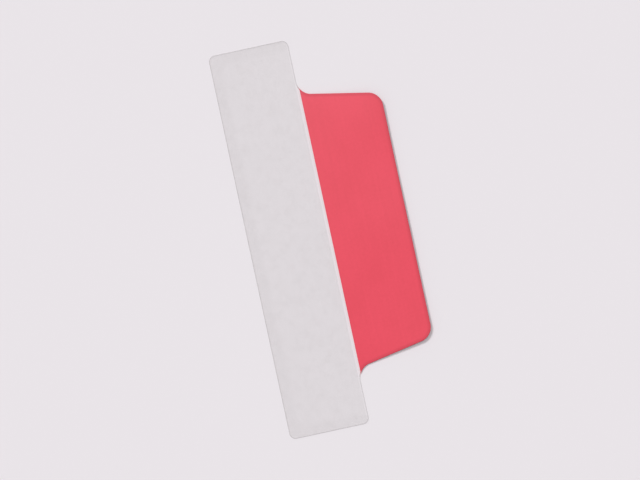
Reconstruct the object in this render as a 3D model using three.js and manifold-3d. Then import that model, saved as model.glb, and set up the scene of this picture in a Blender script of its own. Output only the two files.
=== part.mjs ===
// A sticky index tab: a strip of see-through film with adhesive underneath, and a stiff
// coloured flap that stands out from one of its long sides.
// Millimetres. +X runs along the line where the flap leaves the strip, +Y points out
// towards the flap's tip, and +Z is up from the adhesive face. The origin is on the
// adhesive face, in the middle of that line.
import * as THREE from "three";
import { mergeVertices } from "three/addons/utils/BufferGeometryUtils.js";
import Module from "manifold-3d";

const wasm = await Module();
wasm.setup();

// The adhesive strip, which is stuck down flat.
const stripLength = 63.5;
const stripWidth = 13.1;
const stripCornerRadius = 1.0;

// The flap, which narrows from its root at the strip to its tip.
const flapRootLength = 45.5;
const flapReach = 13.0;
const flapLeanDegrees = 11.2;
const flapTipRadius = 2.4;
const flapRootRadius = 2.4;

// The two films that the tab is laminated from.
const carrierThickness = 0.125;
const colourThickness = 0.125;
const colourSetback = 0.3; // from the flap's root to where the coloured film starts

const arcSegments = 8;

const carrierMaterial = new THREE.MeshStandardMaterial({
  color: 0xdcd7da,
  roughness: 0.45,
  metalness: 0,
  transparent: true,
  opacity: 0.45,
});
const colourMaterial = new THREE.MeshStandardMaterial({
  color: 0xe95968,
  roughness: 0.5,
  metalness: 0,
});

// A closed outline through corners, each rounded by an arc that is tangent to the
// straight edges on both its sides. The corners run anticlockwise, and an arc bends
// the other way where the outline turns clockwise.
function roundedOutline(corners) {
  const outline = new THREE.Shape();
  corners.forEach((corner, i) => {
    const before = corners[(i + corners.length - 1) % corners.length].at;
    const after = corners[(i + 1) % corners.length].at;
    const inwards = corner.at.clone().sub(before).normalize();
    const outwards = after.clone().sub(corner.at).normalize();
    const turn = Math.atan2(inwards.cross(outwards), inwards.dot(outwards));
    const setback = corner.radius * Math.tan(Math.abs(turn) / 2);
    const start = corner.at.clone().addScaledVector(inwards, -setback);
    const left = new THREE.Vector2(-inwards.y, inwards.x);
    const centre = start.clone().addScaledVector(left, Math.sign(turn) * corner.radius);
    const startAngle = Math.atan2(start.y - centre.y, start.x - centre.x);
    outline.absarc(centre.x, centre.y, corner.radius, startAngle, startAngle + turn, turn < 0);
  });
  outline.closePath();
  return outline;
}

// The die line that both films are cut along: the strip with the flap on its long side.
function dieLine() {
  const strip = stripLength / 2;
  const root = flapRootLength / 2;
  const lean = THREE.MathUtils.degToRad(flapLeanDegrees);
  const tip = root - flapReach * Math.tan(lean);
  const rightHalf = [
    { x: strip, y: -stripWidth, radius: stripCornerRadius },
    { x: strip, y: 0, radius: stripCornerRadius },
    { x: root, y: 0, radius: flapRootRadius },
    { x: tip, y: flapReach, radius: flapTipRadius },
  ];
  const leftHalf = rightHalf.map(({ x, y, radius }) => ({ x: -x, y, radius })).reverse();
  return roundedOutline(
    [...rightHalf, ...leftHalf].map(({ x, y, radius }) => ({
      at: new THREE.Vector2(x, y),
      radius,
    })),
  );
}

function filmSheet(thickness) {
  return new THREE.ExtrudeGeometry(dieLine(), {
    depth: thickness,
    bevelEnabled: false,
    curveSegments: arcSegments,
  });
}

// A closed mesh as a solid that can be cut. Its corners are merged first, which needs
// them to differ in nothing but their position.
function toSolid(geometry) {
  const bare = geometry.clone();
  bare.deleteAttribute("normal");
  bare.deleteAttribute("uv");
  const merged = mergeVertices(bare);
  return new wasm.Manifold(
    new wasm.Mesh({
      numProp: 3,
      vertProperties: merged.attributes.position.array,
      triVerts: merged.index.array,
    }),
  );
}

function toGeometry(solid) {
  const { vertProperties, triVerts } = solid.getMesh();
  const geometry = new THREE.BufferGeometry();
  geometry.setAttribute("position", new THREE.BufferAttribute(vertProperties, 3));
  geometry.setIndex(new THREE.BufferAttribute(triVerts, 1));
  geometry.computeVertexNormals();
  return geometry;
}

// The see-through film is the whole die-cut shape: its strip carries the adhesive
// underneath, and it runs on under the flap.
function carrierFilm() {
  const film = new THREE.Mesh(filmSheet(carrierThickness), carrierMaterial);
  film.name = "clear_carrier_film";
  return film;
}

// The coloured film is laminated over the flap alone, cut along the same die line.
function colourFilm() {
  const cutter = new THREE.BoxGeometry(stripLength, flapReach, 2 * colourThickness);
  cutter.translate(0, colourSetback + flapReach / 2, colourThickness / 2);
  const flap = toSolid(filmSheet(colourThickness)).intersect(toSolid(cutter));
  const film = new THREE.Mesh(toGeometry(flap), colourMaterial);
  film.name = "coloured_flap_film";
  film.position.z = carrierThickness;
  return film;
}

const indexTab = new THREE.Group();
indexTab.name = "sticky_index_tab";
indexTab.add(carrierFilm(), colourFilm());

export default indexTab;
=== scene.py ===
import math

import bmesh
import bpy
from mathutils import Color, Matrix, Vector


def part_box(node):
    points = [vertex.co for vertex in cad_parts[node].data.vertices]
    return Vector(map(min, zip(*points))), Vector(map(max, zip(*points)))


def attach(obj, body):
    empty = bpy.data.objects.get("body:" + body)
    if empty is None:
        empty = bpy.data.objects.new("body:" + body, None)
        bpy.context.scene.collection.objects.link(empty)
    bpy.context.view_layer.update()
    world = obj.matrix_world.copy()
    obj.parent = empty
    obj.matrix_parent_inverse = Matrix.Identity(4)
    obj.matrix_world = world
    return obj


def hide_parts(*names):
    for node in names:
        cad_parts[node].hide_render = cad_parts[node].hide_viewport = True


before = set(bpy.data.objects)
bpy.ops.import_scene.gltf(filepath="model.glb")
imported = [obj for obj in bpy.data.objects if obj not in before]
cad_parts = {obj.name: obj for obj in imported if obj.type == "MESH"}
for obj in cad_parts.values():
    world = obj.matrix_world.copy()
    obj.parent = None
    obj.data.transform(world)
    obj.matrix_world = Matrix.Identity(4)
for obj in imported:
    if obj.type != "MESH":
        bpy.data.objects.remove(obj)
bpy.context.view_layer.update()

# A sticky index tab, which lies flat: a hazy film with adhesive under its strip, and a
# coral film laminated over its flap. X runs along the flap's root and Y towards its tip.

mm = 0.001

# The die line that both films are cut along. Sizes that the frame holds come from it.
carrierLow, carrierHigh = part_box("clear_carrier_film")
colourLow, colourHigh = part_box("coloured_flap_film")
dieCut = {
    "halfStrip": carrierHigh.x,
    "stripWidth": -carrierLow.y,
    "flapReach": carrierHigh.y,
    "halfRoot": 22.75 * mm,
    "flapLean": math.radians(11.2),
    "stripCornerRadius": 1.0 * mm,
    "flapRootRadius": 2.4 * mm,
    "flapTipRadius": 2.4 * mm,
    "arcSegments": 12,
}


# Meshes

cutSnap = 0.008 * mm  # a cut this near a corner goes through it
flatFrom = 0.9  # a face whose normal points this much up or down lies flat
uprightTo = 0.1  # and one whose normal does so less than this stands upright

# How the tab lies: the strip is stuck down flat, and the stiff flap rises a little.
bend = {
    "tipRise": 0.30 * mm,
    "endRise": 0.12 * mm,  # more at the flap's two ends than in its middle
    "waves": 0.07 * mm,  # long shallow waves along the flap's tip
    "waveLength": 21.0 * mm,
    "wavePhase": 0.7,  # radians, in the middle of the tab
    "stripWaves": 0.008 * mm,
}


def rise(x, y):
    # how far the film stands off what it lies on, at one place
    outwards = max(y, 0) / dieCut["flapReach"]
    ease = outwards * outwards * (3 - 2 * outwards)
    wave = 0.5 + 0.5 * math.sin(2 * math.pi * x / bend["waveLength"] + bend["wavePhase"])
    flapRise = bend["tipRise"] + bend["endRise"] * (x / dieCut["halfRoot"]) ** 2 + bend["waves"] * wave
    return flapRise * ease + bend["stripWaves"] * wave


def cutOutline(mesh):
    # one flat face inside the die line, its corners rounded by bevels of their vertices
    tip = dieCut["halfRoot"] - dieCut["flapReach"] * math.tan(dieCut["flapLean"])
    squareTurn = math.pi / 2
    slopedTurn = squareTurn - dieCut["flapLean"]
    rightHalf = [
        (dieCut["halfStrip"], -dieCut["stripWidth"], dieCut["stripCornerRadius"], squareTurn),
        (dieCut["halfStrip"], 0, dieCut["stripCornerRadius"], squareTurn),
        (dieCut["halfRoot"], 0, dieCut["flapRootRadius"], slopedTurn),
        (tip, dieCut["flapReach"], dieCut["flapTipRadius"], slopedTurn),
    ]
    leftHalf = [(-x, y, radius, turn) for x, y, radius, turn in reversed(rightHalf)]
    corners = [(mesh.verts.new((x, y, 0)), radius * math.tan(turn / 2))
               for x, y, radius, turn in rightHalf + leftHalf]
    mesh.faces.new([vert for vert, setback in corners])
    for vert, setback in corners:
        bmesh.ops.bevel(mesh, geom=[vert], offset=setback, offset_type="OFFSET", affect="VERTICES",
                        segments=dieCut["arcSegments"], profile=0.5, material=-1)


def everything(mesh):
    return mesh.verts[:] + mesh.edges[:] + mesh.faces[:]


def only(kind, parts):
    return [part for part in parts if isinstance(part, kind)]


def thicken(mesh, thickness):
    grown = bmesh.ops.extrude_face_region(mesh, geom=mesh.faces[:])["geom"]
    bmesh.ops.translate(mesh, vec=(0, 0, thickness), verts=only(bmesh.types.BMVert, grown))
    bmesh.ops.recalc_face_normals(mesh, faces=mesh.faces[:])


def roundRim(mesh, film, fromEdge, side, edgeRadius):
    # rounds the rim of the top (side 1) or the underside (side -1), and lays loops inside it
    rim = [edge for edge in mesh.edges
           if any(face.normal.z * side > flatFrom for face in edge.link_faces)
           and any(abs(face.normal.z) < uprightTo for face in edge.link_faces)]
    bmesh.ops.bevel(mesh, geom=rim, offset=edgeRadius, offset_type="OFFSET", affect="EDGES",
                    segments=film["edgeSegments"], profile=0.5, material=-1, clamp_overlap=True)
    broad = max(mesh.faces, key=lambda face: face.normal.z * side * face.calc_area())
    reached = edgeRadius
    for depth in film["edgeLoops"]:
        bmesh.ops.inset_region(mesh, faces=[broad], thickness=depth - reached,
                               use_boundary=True, use_even_offset=True)
        reached = depth
        for vert in broad.verts:
            vert[fromEdge] = depth / mm


def trimRoot(mesh, startsAt):
    # a straight cut, closed again, where the film starts
    cut = bmesh.ops.bisect_plane(mesh, geom=everything(mesh), dist=cutSnap, clear_inner=True,
                                 plane_co=(0, startsAt, 0), plane_no=(0, 1, 0))["geom_cut"]
    bmesh.ops.edgeloop_fill(mesh, edges=only(bmesh.types.BMEdge, cut))
    bmesh.ops.recalc_face_normals(mesh, faces=mesh.faces[:])


def cutAcross(mesh, place, normal):
    bmesh.ops.bisect_plane(mesh, geom=everything(mesh), dist=cutSnap, plane_co=place, plane_no=normal)


def cutGrid(mesh, cell):
    # a grid of cuts, so that the sheet can bend
    length = 2 * dieCut["halfStrip"]
    width = dieCut["stripWidth"] + dieCut["flapReach"]
    columns = math.ceil(length / cell)
    rows = math.ceil(width / cell)
    for column in range(1, columns):
        cutAcross(mesh, (column * length / columns - dieCut["halfStrip"], 0, 0), (1, 0, 0))
    for row in range(1, rows):
        cutAcross(mesh, (0, row * width / rows - dieCut["stripWidth"], 0), (0, 1, 0))


def splitManySided(mesh, film):
    # faces of many sides, which the round corners leave, would not bend evenly
    manySided = [face for face in mesh.faces if len(face.verts) > 4]
    split = bmesh.ops.triangulate(mesh, faces=manySided, quad_method="BEAUTY", ngon_method="BEAUTY")
    bmesh.ops.join_triangles(mesh, faces=split["faces"], angle_face_threshold=film["joinBend"],
                             angle_shape_threshold=film["joinSkew"])


def markSurfaces(mesh, film):
    # shading that is smooth but for the sharp edges, and the adhesive under the strip
    for face in mesh.faces:
        face.smooth = True
        stuckDown = face.normal.z < -flatFrom and face.calc_center_median().y < 0
        face.material_index = 1 if stuckDown and film["sticky"] else 0
    for edge in mesh.edges:
        edge.smooth = edge.calc_face_angle() < film["sharpFrom"]


def toObject(mesh, name):
    data = bpy.data.meshes.new(name)
    mesh.to_mesh(data)
    mesh.free()
    made = bpy.data.objects.new(name, data)
    bpy.context.scene.collection.objects.link(made)
    return made


def filmSheet(film):
    mesh = bmesh.new()
    fromEdge = mesh.verts.layers.float.new("fromEdge")  # millimetres in from the cut edge
    cutOutline(mesh)
    thicken(mesh, film["thickness"])
    roundRim(mesh, film, fromEdge, 1, film["topEdgeRadius"])
    roundRim(mesh, film, fromEdge, -1, film["underEdgeRadius"])
    if film["startsAt"] is not None:
        trimRoot(mesh, film["startsAt"])
    cutGrid(mesh, film["cell"])
    splitManySided(mesh, film)
    markSurfaces(mesh, film)
    for vert in mesh.verts:
        vert.co.z += film["under"] + rise(vert.co.x, vert.co.y)
    piece = toObject(mesh, film["name"])
    even = piece.modifiers.new("Even shading", "WEIGHTED_NORMAL")
    even.keep_sharp = True
    return piece


# Materials

def feed(node, values):
    # sets a node's sockets, each to a value or to a link
    for name, value in values.items():
        if isinstance(value, Wire):
            value.tree.links.new(value.socket, node.inputs[name])
        else:
            node.inputs[name].default_value = value


class Wire:  # a socket of a material; sums written in Python become its Math nodes
    def __init__(self, tree, socket=None):
        self.tree = tree
        self.socket = socket

    def node(self, kind, settings=None, values=None, output=0):
        made = self.tree.nodes.new(kind)
        for name, value in (settings or {}).items():
            setattr(made, name, value)
        feed(made, values or {})
        return Wire(self.tree, made.outputs[output])

    def maths(self, operation, *values):
        return self.node("ShaderNodeMath", {"operation": operation}, dict(enumerate(values)))

    def __add__(self, other):
        return self.maths("ADD", self, other)

    __radd__ = __add__

    def __sub__(self, other):
        return self.maths("SUBTRACT", self, other)

    def __rsub__(self, other):
        return self.maths("SUBTRACT", other, self)

    def __mul__(self, other):
        return self.maths("MULTIPLY", self, other)

    __rmul__ = __mul__

    def __abs__(self):
        return self.maths("ABSOLUTE", self)

    def lesser(self, other, rounding):  # the lesser of two, rounded where they cross
        return self.maths("SMOOTH_MIN", self, other, rounding)

    def greater(self, other):
        return self.maths("MAXIMUM", self, other)

    def step(self, low, high):  # 0 up to low, 1 from high, and smooth between them
        return self.node("ShaderNodeMapRange", {"interpolation_type": "SMOOTHSTEP"},
                         {"Value": self, "From Min": low, "From Max": high})

    def along(self, axis):  # one coordinate of a place
        return self.node("ShaderNodeSeparateXYZ", {}, {"Vector": self}, output=axis)

    def noise(self, scale, detail=2.0, roughness=0.5):  # scale is in patches to a millimetre
        return self.node("ShaderNodeTexNoise", {},
                         {"Vector": self, "Scale": scale, "Detail": detail, "Roughness": roughness})

    def bump(self, strength, height):
        return self.node("ShaderNodeBump", {}, {"Height": self, "Strength": strength, "Distance": height})

    def mix(self, none, full):  # from one colour, where this is 0, to another, where it is 1
        # by number, because sockets for numbers, vectors and colours share their names here
        return self.node("ShaderNodeMix", {"data_type": "RGBA"}, {0: self, 6: none, 7: full}, output=2)


def linear(red, green, blue):
    # a colour as seen on a screen, 0 to 255, in the form that shaders take
    seen = Color((red / 255, green / 255, blue / 255))
    return (*seen.from_srgb_to_scene_linear(), 1)


def newMaterial(name):
    material = bpy.data.materials.new(name)
    material.use_nodes = True
    return material, material.node_tree.nodes["Principled BSDF"]


def inMillimetres(start, stretch=(1, 1, 1)):
    # the piece's own coordinates; a stretch over 1 makes a pattern finer along that axis
    place = start.node("ShaderNodeTexCoord", output="Object")
    return start.node("ShaderNodeMapping", {}, {"Vector": place, "Scale": [part / mm for part in stretch]})


def millimetresIn(start):
    # how far in from the cut edge, which the mesh holds
    return start.node("ShaderNodeAttribute", {"attribute_name": "fromEdge"}, output="Fac")


clearLook = {
    "haze": (192, 188, 187),
    "stripHaze": 0.098,  # how solid the film looks over the strip
    "even": 0.62,  # of that haze, and what three patterns add to it
    "cloud": 0.34,
    "streaks": 0.22,
    "speckle": 0.2,
    "streakStretch": (0.2, 1.9, 1),
    "flapHaze": 0.05,
    "flapFade": 0.3,  # mm, from the one haze to the other
    "marginHaze": 0.030,  # added along the strip's edges, which makes them a little darker
    "marginFade": (1.15, 2.3),  # mm in from the strip's edges
    "clearLine": 0.32,  # mm inside the flap's root, from where the film is clearer outwards
    "clearFade": 0.2,  # mm
    "clears": 0.8,  # the share of the haze that is gone there
    "cutEdge": 0.20,  # added on the cut edge itself
    "flapCutEdge": 0.55,  # the same beside the flap, where the colour lights the film from above
    "flapTint": (233, 168, 170),  # of the cut edge there
    "cutFade": (0.02, 0.2),  # mm in from the cut edge
    "roughness": 0.36,
    "dullClouds": 0.1,  # added to it in the clouds
    "grainStrength": 0.35,
    "grainHeight": 0.012 * mm,
}


def clearFilmMaterial(name):
    material, shader = newMaterial(name)
    start = Wire(material.node_tree)
    place = inMillimetres(start)
    x, y = place.along("X"), place.along("Y")
    halfStrip, stripWidth = dieCut["halfStrip"] / mm, dieCut["stripWidth"] / mm
    cloud = place.noise(scale=0.16, detail=3.0)
    streaks = inMillimetres(start, clearLook["streakStretch"]).noise(scale=1.0)
    speckle = place.noise(scale=2.4, roughness=0.6)
    grain = place.noise(scale=9.0, roughness=0.6)

    onFlap = y.step(0, clearLook["flapFade"])
    fromStripEdge = (y + stripWidth).lesser(halfStrip - abs(x), rounding=clearLook["marginFade"][1])
    margin = 1 - fromStripEdge.step(*clearLook["marginFade"])
    cutEdge = 1 - millimetresIn(start).step(*clearLook["cutFade"])
    cleared = (y + clearLook["clearLine"]).step(0, clearLook["clearFade"]) * (1 - cutEdge)

    mottle = (clearLook["even"] + clearLook["cloud"] * cloud
              + clearLook["streaks"] * streaks + clearLook["speckle"] * speckle)
    stripHaze = clearLook["stripHaze"] * mottle + clearLook["marginHaze"] * margin
    haze = stripHaze * (1 - onFlap) + clearLook["flapHaze"] * onFlap
    edgeHaze = clearLook["cutEdge"] + (clearLook["flapCutEdge"] - clearLook["cutEdge"]) * onFlap
    feed(shader, {
        "Base Color": (onFlap * cutEdge).mix(linear(*clearLook["haze"]), linear(*clearLook["flapTint"])),
        "Alpha": haze * (1 - clearLook["clears"] * cleared) + edgeHaze * cutEdge,
        "Roughness": clearLook["roughness"] + clearLook["dullClouds"] * cloud,
        "IOR": 1.48,
        "Normal": grain.bump(clearLook["grainStrength"], clearLook["grainHeight"]),
    })
    return material


adhesiveLook = {
    "tint": (206, 200, 196),
    "least": 0.045,  # how solid the coat looks where it is clearest
    "blotches": 0.032,  # added where it has taken up air
    "blotchRange": (0.42, 0.7),  # of the noise that makes them
    "specks": 0.05,
    "speckRange": (0.66, 0.74),
    "beyond": 0.15,  # the share of all this that is left past the clear line
}


def adhesiveMaterial(name):
    # the coat under the strip, which has taken up a little air in places
    material, shader = newMaterial(name)
    start = Wire(material.node_tree)
    place = inMillimetres(start)
    blotches = place.noise(scale=0.55, detail=4.0, roughness=0.62).step(*adhesiveLook["blotchRange"])
    specks = place.noise(scale=2.2).step(*adhesiveLook["speckRange"])
    covered = 1 - (place.along("Y") + clearLook["clearLine"]).step(0, clearLook["clearFade"])
    solid = adhesiveLook["least"] + adhesiveLook["blotches"] * blotches + adhesiveLook["specks"] * specks
    feed(shader, {
        "Base Color": linear(*adhesiveLook["tint"]),
        "Alpha": solid * (adhesiveLook["beyond"] + (1 - adhesiveLook["beyond"]) * covered),
        "Roughness": 0.3,
        "IOR": 1.47,
    })
    return material


colourLook = {
    "body": (232, 75, 94),
    "shade": (225, 71, 88),
    "cloud": 0.5,  # what each of three patterns adds to the shade
    "streaks": 0.2,
    "speckle": 0.3,
    "streakStretch": (0.06, 2.4, 1),
    "shadeRange": (0.3, 0.7),  # of their sum
    "edge": (197, 61, 77),
    "edgeShare": 0.6,  # of that colour, at the cut edge
    "edgeFade": (0.15, 0.7),  # mm in from the cut edge
    "roughness": 0.32,
    "dullGrain": 0.1,  # added to it on the grain
    "grainStrength": 0.4,
    "grainHeight": 0.015 * mm,
}


def colourFilmMaterial(name):
    material, shader = newMaterial(name)
    start = Wire(material.node_tree)
    place = inMillimetres(start)
    cloud = place.noise(scale=0.13, detail=3.0)
    streaks = inMillimetres(start, colourLook["streakStretch"]).noise(scale=1.0)
    speckle = place.noise(scale=2.2, roughness=0.6)
    grain = place.noise(scale=7.0, detail=3.0, roughness=0.6)

    edge = 1 - millimetresIn(start).step(*colourLook["edgeFade"])
    mottle = colourLook["cloud"] * cloud + colourLook["streaks"] * streaks + colourLook["speckle"] * speckle
    shade = mottle.step(*colourLook["shadeRange"])
    body = shade.mix(linear(*colourLook["body"]), linear(*colourLook["shade"]))
    feed(shader, {
        "Base Color": (colourLook["edgeShare"] * edge).mix(body, linear(*colourLook["edge"])),
        "Roughness": colourLook["roughness"] + colourLook["dullGrain"] * grain,
        "IOR": 1.46,
        "Specular IOR Level": 0.3,
        "Normal": grain.bump(colourLook["grainStrength"], colourLook["grainHeight"]),
    })
    return material


print("films")
bothFilms = {
    "topEdgeRadius": 0.045 * mm,
    "underEdgeRadius": 0.02 * mm,
    "edgeSegments": 3,
    "edgeLoops": (0.14 * mm, 0.32 * mm, 0.72 * mm),  # loops of edges this far in from the cut edge
    "cell": 1.5 * mm,  # of the grid that lets the sheet bend
    "joinBend": math.radians(5),  # the most bend between two triangles that become one face
    "joinSkew": math.radians(50),  # the most that such a face's corners may be from square
    "sharpFrom": math.radians(50),
}
carrier = {
    **bothFilms,
    "name": "clearCarrierSheet",
    "under": carrierLow.z,
    "thickness": carrierHigh.z - carrierLow.z,
    "startsAt": None,
    "sticky": True,
}
plyGap = 0.003 * mm  # so that the two films don't share a face
colour = {
    **bothFilms,
    "name": "colouredFlapSheet",
    "under": colourLow.z + plyGap,
    "thickness": colourHigh.z - colourLow.z - plyGap,
    "startsAt": colourLow.y,  # short of the strip
    "sticky": False,
}
carrierPiece = filmSheet(carrier)
colourPiece = filmSheet(colour)
for piece in (carrierPiece, colourPiece):
    print(piece.name, len(piece.data.polygons), "faces")

print("materials")
carrierPiece.data.materials.append(clearFilmMaterial("hazyFilm"))
carrierPiece.data.materials.append(adhesiveMaterial("adhesiveCoat"))
colourPiece.data.materials.append(colourFilmMaterial("coralFilm"))

for piece, node, slot in ((carrierPiece, "clear_carrier_film", "clear_film"),
                          (colourPiece, "coloured_flap_film", "flap_colour")):
    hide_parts(node)
    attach(piece, "root")


print("studio")
studio = {
    "floorSize": 2.0,  # metres
    "floorDrop": 0.01 * mm,  # so that the floor and the film don't share a face
    "floorColour": (233, 228, 232),
    "floorRoughness": 0.8,
    "floorGloss": 0.2,
    "worldStrength": 0.4064,
}
lamps = {  # both as far off as the sun, so that the floor is lit evenly
    "keyLamp": {"from": (-0.31, -0.20, 0.42), "spread": math.radians(16), "power": 1.67},
    "sheenLamp": {"from": (-0.15, -0.01, 0.60), "spread": math.radians(6), "power": 0.62},
}


def makeFloor():
    mesh = bmesh.new()
    bmesh.ops.create_grid(mesh, x_segments=1, y_segments=1, size=studio["floorSize"] / 2)
    bmesh.ops.translate(mesh, verts=mesh.verts[:], vec=(0, 0, -studio["floorDrop"]))
    floor = toObject(mesh, "floor")
    material, shader = newMaterial("floorPaint")
    feed(shader, {
        "Base Color": linear(*studio["floorColour"]),
        "Roughness": studio["floorRoughness"],
        "Specular IOR Level": studio["floorGloss"],
    })
    floor.data.materials.append(material)


def makeLamp(name, look):
    light = bpy.data.lights.new(name, "SUN")
    light.energy = look["power"]
    light.angle = look["spread"]
    lamp = bpy.data.objects.new(name, light)
    lamp.location = look["from"]
    lamp.rotation_euler = (-Vector(look["from"])).to_track_quat("-Z", "Y").to_euler()
    bpy.context.scene.collection.objects.link(lamp)


def makeWorld():
    # even white light, but what is seen past the floor's edge, also in or through the films,
    # has the floor's colour
    world = bpy.data.worlds.new("studioWorld")
    world.use_nodes = True
    start = Wire(world.node_tree)
    direct, glossy, through = [start.node("ShaderNodeLightPath", output=ray)
                               for ray in ("Is Camera Ray", "Is Glossy Ray", "Is Transmission Ray")]
    light = start.node("ShaderNodeBackground", {},
                       {"Color": linear(255, 255, 255), "Strength": studio["worldStrength"]})
    backdrop = start.node("ShaderNodeBackground", {}, {"Color": linear(*studio["floorColour"])})
    seen = direct.greater(glossy).greater(through)
    mixed = start.node("ShaderNodeMixShader", {}, {0: seen, 1: light, 2: backdrop})
    feed(world.node_tree.nodes["World Output"], {"Surface": mixed})
    bpy.context.scene.world = world


makeFloor()
makeWorld()
for name, look in lamps.items():
    makeLamp(name, look)

print("camera")
shot = {  # straight down, and turned so that the tab lies as it does in the picture
    "turn": math.radians(77.8),
    "height": 245 * mm,
    "aim": (1.1 * mm, -1.6 * mm),
    "lens": 85,
    "nearest": 10 * mm,  # what is nearer isn't seen
}
lens = bpy.data.cameras.new("camera")
lens.lens = shot["lens"]
lens.clip_start = shot["nearest"]
camera = bpy.data.objects.new("camera", lens)
camera.location = (*shot["aim"], shot["height"])
camera.rotation_euler = (0, 0, shot["turn"])
bpy.context.scene.collection.objects.link(camera)
bpy.context.scene.camera = camera
bpy.context.scene.view_settings.view_transform = "Standard"
